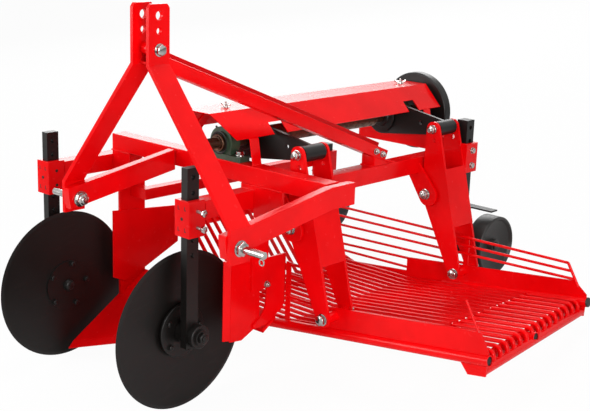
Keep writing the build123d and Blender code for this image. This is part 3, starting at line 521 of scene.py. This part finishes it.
def master(*parts, edge=0.6):
    """Join parts round the Z axis into one pattern piece with softened edges."""
    piece = baked(joined(parts))
    soften(piece, edge, angle=42, smooth=40)
    patterns.append(piece)
    return piece


def fix(name, body, slot, pattern, stands):
    """Copies of a pattern, one for each place and the way that it points, as one piece."""
    copies = []
    for number, (place, toward) in enumerate(stands):
        copy = copied(name, pattern.data)
        aim = Vector(toward).to_track_quat("Z", "Y").to_matrix().to_4x4()
        twist = Matrix.Rotation(0.7 * number, 4, "Z")
        copy.matrix_world = Matrix.Translation(place) @ aim @ twist
        copies.append(copy)
    return finished(joined(copies), name, body, slot)


# Patterns point up Z and most of them stand on z = 0, the face that they are fixed to.  They are
# removed at the end.
washer = [(17, 0), (17, 3), (9, 3)]
big_bolt = master(turned(washer), hexagon(27, 3, 13))
big_nut = master(turned(washer), turned([(14, 3), (14, 6), (9, 6)]), hexagon(27, 6, 12),
                 threads(8.5, 15, 24))
large_washer = [(20, 0), (20, 3.5), (10, 3.5)]
large_bolt = master(turned(large_washer), hexagon(31, 3.5, 14))
large_nut = master(turned(large_washer), turned([(16, 3.5), (16, 6.5), (9, 6.5)]),
                   hexagon(30, 6.5, 12), threads(9.5, 16, 25))
clamp_bolt = master(threads(6, 0, 27), hexagon(21, 26, 10))
short_bolt = master(turned([(12, 0), (12, 2), (6, 2)]), hexagon(19, 2, 8))
clamp_nut = master(turned([(11.5, 0), (11.5, 2.5), (6, 2.5)]), hexagon(18, 2.5, 8),
                   threads(5.5, 9, 16))
hub_screw = master(turned([(11, 0), (11, 1.8), (5, 1.8)]), hexagon(17, 1.8, 8), edge=0.4)

# ---- fasteners of the hitch ------------------------------------------------------------

spacer_low, spacer_high = span("mast_spacer")
spacer = (spacer_low + spacer_high) / 2
EAR_SHEET = 13
ear_side = span("mast_left")[0].x + EAR_SHEET
sleeve = master(turned([(17.6, -22), (18.2, -21), (18.2, 21), (17.6, 22)], 40))
fix("spacer_sleeve", "frame", "red_paint", sleeve, [((0, spacer.y, spacer.z), LEFT)])
spacer_bolt = master(turned([(19, 0), (19, 3), (12, 3)]), hexagon(30, 3, 12))
fix("spacer_bolt", "frame", "zinc", spacer_bolt,
    [((ear_side, spacer.y, spacer.z), LEFT), ((-ear_side, spacer.y, spacer.z), RIGHT)])

pin_low, pin_high = span("hitch_pin_left")
arm_inside, arm_outside = span("lower_arm_left")[0].x, span("mast_left")[1].x
pin_nut = master(turned([(26, 0), (26, 4), (14, 4)]), hexagon(36, 4, 17),
                 turned([(12, 20), (12, 27), (10.5, 29)]))
fix("pin_nuts", "frame", "zinc", pin_nut,
    [((arm_inside, 0, PINS), RIGHT), ((-arm_inside, 0, PINS), LEFT)])
pin_collar = master(turned([(24, 0), (24, 3), (15, 3)]), hexagon(38, 3, 12), edge=1)
fix("pin_collars", "frame", "zinc", pin_collar,
    [((arm_outside, 0, PINS), LEFT), ((-arm_outside, 0, PINS), RIGHT)])

# ---- fasteners of the disc clamps and stay ---------------------------------------------

low, high = span("disc_clamp_left")
tall = high.z - low.z
clamp_y = (low.y + high.y) / 2
BOLT_SHARES = (0.27, 0.71)             # of the clamp's height
BOLT_SUNK = 25                         # right, so the heads reach no further than the axle's nut
bolt_heights = [low.z + tall * share for share in BOLT_SHARES]
fix("disc_clamp_bolts_left", "frame", "zinc", clamp_bolt,
    [((high.x, clamp_y, height), LEFT) for height in bolt_heights])
right_low, right_high = span("disc_clamp_right")
fix("disc_clamp_bolts_right", "frame", "zinc", clamp_bolt,
    [((right_low.x + BOLT_SUNK, clamp_y, height), RIGHT) for height in bolt_heights])
# Small black caps on the clamps' bolt holes and front bores are painted shade for the holes' dark
# mouths.
bore_shade_cap = master(turned([(5.5, -1), (5.5, 0.8), (4.2, 1.4), (3.6, 0.9)], 20), edge=0.2)
fix("clamp_bore_shade", "frame", "black_paint", bore_shade_cap,
    [((right_high.x, clamp_y, height), LEFT) for height in bolt_heights]
    + [(((box[0].x + box[1].x) / 2, low.y, (low.z + high.z) / 2), FRONT)
       for box in (span("disc_clamp_left"), span("disc_clamp_right"))])

STAY_HOLES, HOLE_DROP = (24, 60), 10   # from the stay's rear end, below its middle line
stay_holes = [stay_rear - stay_way * back - stay_top * HOLE_DROP for back in STAY_HOLES]
fix("stay_bolts", "frame", "zinc", clamp_nut,
    [(hole + stay_side * way * STAY_WIDE / 2, stay_side * way)
     for hole in stay_holes for way in (1, -1)])

# ---- rocker pins -----------------------------------------------------------------------

PIN_END = 8                            # of a rocker's pins past its plates
PIVOT_END = 10                         # of a pivot's pin in front of its bracket
CLEAR = 0.6                            # between a rocker and the washer of its fixed pivot bolt
step = centre("rocker_rear_swing") - centre("rocker_front_swing")
for end, back in (("front", Vector()), ("rear", step)):
    rocker_low, rocker_high = span(f"rocker_{end}")
    front_face, rear_face = rocker_low.y + PIN_END, rocker_high.y - PIN_END
    crown = centre(f"rod_{end}_pin")
    foot = centre("sieve_hang") + back
    pivot = centre(f"rocker_{end}_swing")
    bracket = span(f"pivot_bracket_{end}")[0].y + PIVOT_END
    body = f"rocker_{end}"
    fix(f"rocker_nuts_{end}", body, "zinc", big_nut, [((crown.x, front_face, crown.z), FRONT)])
    fix(f"sieve_nuts_{end}", body, "zinc", large_nut, [((foot.x, rear_face, foot.z), REAR)])
    fix(f"rocker_bolts_{end}", body, "zinc", big_bolt, [((crown.x, rear_face, crown.z), REAR)])
    fix(f"sieve_bolts_{end}", body, "zinc", large_bolt, [((foot.x, front_face, foot.z), FRONT)])
    fix(f"pivot_nut_{end}", "frame", "zinc", large_nut, [((pivot.x, bracket, pivot.z), FRONT)])
    fix(f"pivot_bolt_{end}", "frame", "zinc", large_bolt,
        [((pivot.x, rear_face + CLEAR, pivot.z), REAR)])

# ---- the shaft's discs and splines -----------------------------------------------------

shaft = centre("shaft_turn")
ring_radius = shaft.x - span("connecting_rod_rear")[0].x
dust_disc = master(turned([(ring_radius - 5, 0), (ring_radius - 5, 2), (ring_radius - 8, 4),
                           (40, 4), (36, 9)], 64))
DISC_LEAD = 11                         # ahead of the rod's middle, 1 past the eccentric's face
fix("dust_discs", "drive", "black_paint", dust_disc,
    [((shaft.x, centre(f"rocker_{end}_swing").y - DISC_LEAD, shaft.z), FRONT)
     for end in ("front", "rear")])

# Six ridges stand round the stub, whose radius is that of its mesh's front points.
SPLINES = 6
stub_y = span("drive_shaft")[0].y
stub_radius = max(sqrt((point.x - shaft.x) ** 2 + (point.z - shaft.z) ** 2)
                  for point in points_of("drive_shaft") if point.y < stub_y + 12)
ridges = []
for number in range(SPLINES):
    ridge = block((-3, stub_y + 6, stub_radius - 1), (3, stub_y + 62, stub_radius + 1.4))
    bpy.ops.object.mode_set(mode="OBJECT")
    soften(ridge, 0.6)
    ridge.data.transform(Matrix.Translation((shaft.x, 0, shaft.z))
                         @ Matrix.Rotation(2 * pi / SPLINES * number, 4, "Y"))
    ridges.append(ridge)
finished(joined(ridges), "stub_splines", "drive", "bare_steel")

# ---- discs and hubs --------------------------------------------------------------------

disc_high = span("disc_right")[1]
axle = centre("disc_right_turn")
SCREWS, FIRST_SCREW = 5, 0.23          # of a ring, and the first one's turn from the top
SCREW_RING = 62                        # radius of the inner ring, which the outer ones are sized by
spokes = [Vector((0, sin(turn), cos(turn))) * SCREW_RING
          for turn in [2 * pi * spoke / SCREWS + FIRST_SCREW for spoke in range(SCREWS)]]


def screw_ring(x, spread, way):
    """The places of a ring of screws round the axle on a disc's or a plate's face."""
    return [((x, axle.y + spoke.y * spread, axle.z + spoke.z * spread), way) for spoke in spokes]


fix("disc_screws_right", "disc_right", "black_paint", hub_screw,
    screw_ring(disc_high.x, 1.25, LEFT))
cap = master(turned([(21, 0), (21, 4), (17, 9), (17, 12), (12, 15), (4, 16.5)], 28), edge=0.8)
fix("hub_cap_right", "disc_right", "black_paint", cap, [((disc_high.x, axle.y, axle.z), LEFT)])
axle = centre("disc_left_turn")
plate_x = axle.x + 6
PLATE_FACE = 5.5
hub_plate = master(turned([(90, -4), (90, 4), (88.5, PLATE_FACE), (37, PLATE_FACE), (37, -4)], 72,
                          through=True))
fix("hub_plate_left", "disc_left", "black_paint", hub_plate, [((plate_x, axle.y, axle.z), LEFT)])
fix("disc_screws_left", "disc_left", "black_paint", hub_screw,
    screw_ring(plate_x + PLATE_FACE, 1.12, LEFT))
fix("disc_screws_left_inner", "disc_left", "black_paint", hub_screw,
    screw_ring(span("disc_left")[0].x, 1, RIGHT))
shank_high = span("disc_shank_left")[1]
shank_low = span("disc_shank_right")[0]
BAR_HALF, BAR_OFFSET = 14, 55          # of a disc's bar: half its width, and from its disc's middle
boss = master(turned([(24, 8), (24, 26), (26, 28), (36, 28), (38, 26), (38, 0), (24, 0)], 48,
                     through=True))
fix("shank_boss", "frame", "black_paint", boss,
    [((axle.x + BAR_OFFSET + BAR_HALF, axle.y, axle.z), LEFT)])
hub_nut = master(turned([(25, 0), (25, 4), (14, 4)]), hexagon(34, 4, 13),
                 turned([(11, 16), (11, 21), (9.5, 22)]))
NUT_SUNK = 26                          # right, which hides it inside the CAD's own round nut
fix("hub_nuts", "frame", "black_paint", hub_nut,
    [((shank_high.x, axle.y, axle.z), LEFT), ((shank_low.x + NUT_SUNK, axle.y, axle.z), RIGHT)])

# ---- bearings, cover and wheel clamps --------------------------------------------------

grease = master(turned([(4.5, -3), (4.5, 4), (3, 6), (3.6, 9), (3.6, 11), (1.6, 13)], 14), edge=0.3)
seal = master(turned([(38.5, 0), (38.5, 1.6), (36, 2.2), (29.5, 0.6), (29.5, 0)], 48,
                     through=True), edge=0.2)
lock = master(turned([(28.8, 0), (28.8, 8.5), (27.2, 10), (22.8, 10), (22.6, 9.3), (22.6, 0)], 48,
                     through=True), edge=0.3)
FOOT_HOLE, FOOT_TALL = 73, 18          # from a bearing's middle to its bolts, and its foot's height
for end in ("front", "rear"):
    low, high = span(f"bearing_{end}")
    middle = (low + high) / 2
    fix(f"bearing_bolts_{end}", "frame", "zinc", big_bolt,
        [((middle.x + across, middle.y, low.z + FOOT_TALL), UP)
         for across in (-FOOT_HOLE, FOOT_HOLE)])
    nose, way = (low.y, FRONT) if end == "front" else (high.y, REAR)
    fix(f"bearing_seal_{end}", "frame", "black_paint", seal, [((shaft.x, nose, shaft.z), way)])
    fix(f"lock_ring_{end}", "frame", "bare_steel", lock, [((shaft.x, nose, shaft.z), way)])
    fix(f"grease_nipple_{end}", "frame", "bearing_green", grease,
        [((shaft.x - 36, middle.y, shaft.z + 37), (-0.7, 0, 0.7))])

top_z = span("shaft_cover")[1].z
wing = start("cube", size=1, location=(9.5, 0, 9), scale=(13, 3, 9))
pick(wing, lambda middle, normal: normal.x > 0.9)
bpy.ops.mesh.extrude_region_move(TRANSFORM_OT_translate={"value": (8, 0, 6)})
bpy.ops.transform.resize(value=(1, 0.8, 1.5))
bpy.ops.mesh.extrude_region_move(TRANSFORM_OT_translate={"value": (4, 0, 1)})
bpy.ops.transform.resize(value=(1, 0.8, 0.7))
bpy.ops.object.mode_set(mode="OBJECT")
wing.modifiers.new("other_wing", "MIRROR")
baked(wing)
apply_all(wing)
wing_nut = master(turned([(17, 0), (17, 2.4), (7, 2.4)]),
                  turned([(10, 2.4), (10, 6), (7, 15), (5.5, 15)]), wing,
                  threads(4.6, 12, 26, 1.6), edge=0.5)
wing_nut.data.transform(Matrix.Scale(0.8, 4))
fix("wing_nuts", "frame", "zinc", wing_nut,
    [((shaft.x, (box[0].y + box[1].y) / 2, top_z), UP)
     for box in (span("cover_hoop_front"), span("cover_hoop_rear"))])

WHEEL_BOLTS = (27, 83)                 # heights over a wheel clamp's lower edge
for side, way in (("left", LEFT), ("right", RIGHT)):
    low, high = span(f"wheel_clamp_{side}")
    face = high.x if side == "left" else low.x
    fix(f"wheel_clamp_bolts_{side}", "frame", "zinc", short_bolt,
        [((face, (low.y + high.y) / 2, low.z + rise), way) for rise in WHEEL_BOLTS])

CHEEK_BOLT = (452, 381)                # y and z
fix("cheek_bolt", "frame", "zinc", clamp_nut, [((span("leg_left")[1].x, *CHEEK_BOLT), LEFT)])

# ---- pipe ends -------------------------------------------------------------------------

PIPE_SLOPE = radians(7.8)
MIDDLE_PIPE = (850, 1000)              # y in front of and behind the middle pipe


def pipe_end(name, low_y=-inf, high_y=inf):
    """The middle of a sloping pipe's left end, of the node's points between two cuts."""
    points = [point for point in points_of(name) if low_y < point.y < high_y]
    last = max(point.x for point in points)
    ring = [point for point in points if point.x > last - 6]
    return sum(ring, Vector()) / len(ring)


along_pipe = Vector((cos(PIPE_SLOPE), 0, sin(PIPE_SLOPE)))
end_cap = master(turned([(16.8, -1), (16.8, 3.5), (15, 5.5), (6, 6)], 36), edge=0.5)
fix("pipe_cap_far", "sieve", "wheel_grey", end_cap, [(pipe_end("sieve_pipe_far"), along_pipe)])
# Black discs set a little inside the near and middle pipes' bores are painted shade for their dark
# insides.
bore_shade_disc = master(turned([(13.9, -12), (13.9, -3), (12, -2.6)], 32), edge=0.3)
fix("pipe_bore_shade", "sieve", "black_paint", bore_shade_disc,
    [(pipe_end("sieve_pipe_near"), along_pipe),
     (pipe_end("sieve_end_pipes", *MIDDLE_PIPE), along_pipe)])

# ---- wheels, lid, ring, plugs and slots ------------------------------------------------

# The wheel's outline, from its bore's inner end out over the tread and back in at the outer side.
wheel_outline = [(12, -35), (24, -35), (26, -30), (94, -26), (103, -35), (111, -35), (115, -31),
                 (115, 31), (111, 35), (105, 35), (99, 24), (60, 15), (27, 12), (25, 30), (12, 30)]
tyre = master(turned(wheel_outline, 96, through=True), edge=0.8)
for side, toward in (("left", LEFT), ("right", RIGHT)):
    low, high = span(f"wheel_{side}")
    axle = centre(f"wheel_{side}_turn")
    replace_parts(fix(f"tyre_{side}", f"wheel_{side}", "wheel_grey", tyre,
                    [(((low.x + high.x) / 2, axle.y, axle.z), toward)]), f"wheel_{side}")

low, high = span("hanger_box")
lid = block((high.x - 3, low.y + 3, low.z + 3), (high.x + 0.5, high.y - 3, high.z - 4))
bpy.ops.object.mode_set(mode="OBJECT")
soften(lid, 1)
finished(lid, "hanger_lid", "frame", "red_paint")

pin_ring = master(turned([(7, -1.6), (10, -1.6), (10.6, 0), (10, 1.6), (7, 1.6), (6.4, 0)], 28,
                         through=True), edge=0.2)
fix("pin_ring", "frame", "zinc", pin_ring, [((pin_high.x - 12, 0, pin_low.z - 2), FRONT)])

HOLE_TOP, HOLE_STEP = 30, 50           # of the bar's six holes, from its top down
hole_plug = master(turned([(8.4, -2), (8.4, 0.02), (7.9, 0.08)], 24), edge=0.1)
for side, outward, plugged in (("left", 1, 4), ("right", -1, 6)):
    low, high = span(f"disc_shank_{side}")
    bar_x = centre(f"disc_{side}_turn").x + BAR_OFFSET * outward
    heights = [high.z - HOLE_TOP - HOLE_STEP * step for step in range(6)][-plugged:]
    fix(f"shank_plugs_{side}", "frame", "black_paint", hole_plug,
        [((bar_x + way * BAR_HALF, (low.y + high.y) / 2, height), (way, 0, 0))
         for height in heights for way in (1, -1)])

# Thin black marks are painted shade standing in for L-shaped slots, four round the bore of each
# disc clamp's front.
slot_parts = []
for low, high in (((-1.5, -6.5, -0.6), (1.5, 6.5, 0.6)), ((-0.5, -6.5, -0.6), (6.5, -3.5, 0.6))):
    slot_parts.append(block(low, high))
    bpy.ops.object.mode_set(mode="OBJECT")
clamp_slot = master(*slot_parts, edge=0.5)
for side in ("left", "right"):
    low, high = span(f"disc_clamp_{side}")
    middle = (low + high) / 2
    marks = []
    for across in (-17, 13):
        for rise in (-34, 34):
            mark = copied("mark", clamp_slot.data)
            mark.matrix_world = (Matrix.Translation((middle.x + across, low.y, middle.z + rise))
                                 @ Matrix.Rotation(pi / 2, 4, "X"))
            marks.append(mark)
    finished(joined(marks), f"painted_slot_shade_{side}", "frame", "black_paint")

# ---- weld beads ------------------------------------------------------------------------

ripple = start("uv_sphere", segments=10, ring_count=6, radius=1)
bpy.ops.mesh.bisect(plane_co=(0, 0, -0.45), plane_no=(0, 0, 1), clear_inner=True, use_fill=True)
bpy.ops.object.mode_set(mode="OBJECT")


def weld(name, body, runs, width=4.5):
    """Beads of overlapping ripples along straight runs, each from one point to another."""
    pace = width * 0.75
    beads = []
    for begin, end in runs:
        begin, end = Vector(begin), Vector(end)
        bead = copied(name, ripple.data)
        bead.data.transform(Matrix.Diagonal((width * 0.8, width, width * 0.8, 1)))
        row = bead.modifiers.new("row", "ARRAY")
        row.use_relative_offset = False
        row.use_constant_offset = True
        row.constant_offset_displace = (pace, 0, 0)
        row.count = max(2, int((end - begin).length / pace))
        apply_all(bead)
        aim = (end - begin).to_track_quat("X", "Z").to_matrix().to_4x4()
        bead.data.transform(Matrix.Translation(begin) @ aim)
        for polygon in bead.data.polygons:
            polygon.use_smooth = True
        beads.append(bead)
    return finished(joined(beads), name, body, "red_paint")


beam = span("front_beam")
box, plate = span("hanger_box"), span("hanger_plate")
arm = span("lower_arm_right")
weld("beam_welds", "frame", [
    ((plate[0].x, beam[0].y, beam[0].z), (plate[1].x, beam[0].y, beam[0].z)),
    ((box[0].x, beam[0].y, beam[0].z), (box[1].x, beam[0].y, beam[0].z)),
    ((arm[1].x, beam[0].y, beam[0].z + 4), (arm[1].x, beam[0].y, arm[1].z)),
    ((-arm[1].x, beam[0].y, beam[0].z + 4), (-arm[1].x, beam[0].y, arm[1].z))])
for side in ("left", "right"):
    box, arm = span(f"disc_clamp_{side}"), span(f"disc_arm_{side}")
    weld(f"clamp_welds_{side}", "frame", [
        ((x, box[1].y, arm[0].z + 4), (x, box[1].y, arm[0].z + 56))
        for x in (arm[0].x, arm[1].x)]
        + [((arm[0].x, box[1].y, arm[0].z + 60), (arm[1].x, box[1].y, arm[0].z + 60))])
for end in ("front", "rear"):
    hoop = span(f"cover_hoop_{end}")
    weld(f"hoop_welds_{end}", "frame", [
        ((x, hoop[0].y, hoop[0].z), (x, hoop[1].y, hoop[0].z))
        for x in (hoop[0].x + 4, hoop[1].x - 2)], 3.5)
weld("post_welds", "frame", [
    ((post_low.x, y, beam_top), (post_high.x, y, beam_top)) for y in (post_low.y, post_high.y)])

for pattern in (*patterns, ripple):
    bpy.data.objects.remove(pattern)

# ---- camera, lights and floor ----------------------------------------------------------

bpy.context.scene.view_settings.view_transform = "Standard"

# The eye and its angles are those on the level machine, and lean back with it.
eye = level @ Vector((2515.5, -2096.3, 1563.5))
azimuth, elevation, roll = radians(42.59), radians(14.42), radians(1.86)
right = Vector((cos(azimuth), sin(azimuth), 0))
back = Vector((sin(azimuth) * cos(elevation), -cos(azimuth) * cos(elevation), sin(elevation)))
top = back.cross(right)
right, top = right * cos(roll) + top * sin(roll), top * cos(roll) - right * sin(roll)
turn = Matrix((right, top, back)).transposed().to_4x4()

FOCAL = 1122 / 590         # in widths of the view
camera_data = bpy.data.cameras.new("camera")
camera_data.sensor_width = 36
camera_data.lens = FOCAL * camera_data.sensor_width
camera = bpy.data.objects.new("camera", camera_data)
camera.matrix_world = Matrix.Translation(eye) @ lean @ turn
bpy.context.scene.collection.objects.link(camera)
bpy.context.scene.camera = camera

target = Vector((0, 0, (cad_box[0].z + cad_box[1].z) / 2))


def lamp(name, place, size, tall, power):
    """A soft box that points at the machine and isn't seen itself."""
    light = bpy.data.lights.new(name, "AREA")
    light.shape = "RECTANGLE"
    light.size = size
    light.size_y = tall
    light.energy = power
    holder = bpy.data.objects.new(name, light)
    holder.location = place
    holder.rotation_euler = (target - Vector(place)).to_track_quat("-Z", "Y").to_euler()
    holder.visible_camera = False
    bpy.context.scene.collection.objects.link(holder)


lamp("key_light", (4.0, -2.6, 2.2), 2.0, 2.0, 160)
lamp("side_light", (-2.6, -3.6, 2.4), 2.0, 2.0, 108)
lamp("top_light", (0.2, 0.6, 4.6), 2.6, 2.6, 90)
lamp("back_light", (-3.2, 3.6, 1.9), 4.6, 1.8, 115)

# The backdrop is white to the camera and in reflections, and lights the machine more weakly.
AMBIENT = 0.3
light = Finish("studio", bpy.data.worlds)
bpy.context.scene.world = light.holder
rays = light.add("ShaderNodeLightPath", {}, {})
seen = Value(light, rays.outputs["Is Camera Ray"]) + Value(light, rays.outputs["Is Glossy Ray"])
seen = seen + Value(light, rays.outputs["Is Transmission Ray"])
sky = light.add("ShaderNodeBackground", {},
                {"Color": (1, 1, 1, 1), "Strength": AMBIENT + (seen > 0.5) * (1 - AMBIENT)})
light.add("ShaderNodeOutputWorld", {}, {0: sky.outputs[0]})

deselect()
bpy.ops.mesh.primitive_plane_add(size=60, location=(0, 0, cad_box[0].z - 0.001))
floor = bpy.context.object
floor.name = "floor"
# The camera sees mostly a white glow, with a little of the matt floor and its shadows.
GLOW = 0.96
white = Finish("white_floor")
rays = white.add("ShaderNodeLightPath", {}, {})
matt = white.add("ShaderNodeBsdfDiffuse", {}, {"Color": (0.76, 0.76, 0.76, 1)})
glow = white.add("ShaderNodeEmission", {}, {"Color": (1, 1, 1, 1)})
plain = Value(white, rays.outputs["Is Camera Ray"]) * GLOW
mixed = white.add("ShaderNodeMixShader", {}, {0: plain, 1: matt.outputs[0], 2: glow.outputs[0]})
white.add("ShaderNodeOutputMaterial", {}, {0: mixed.outputs[0]})
floor.data.materials.append(white.holder)
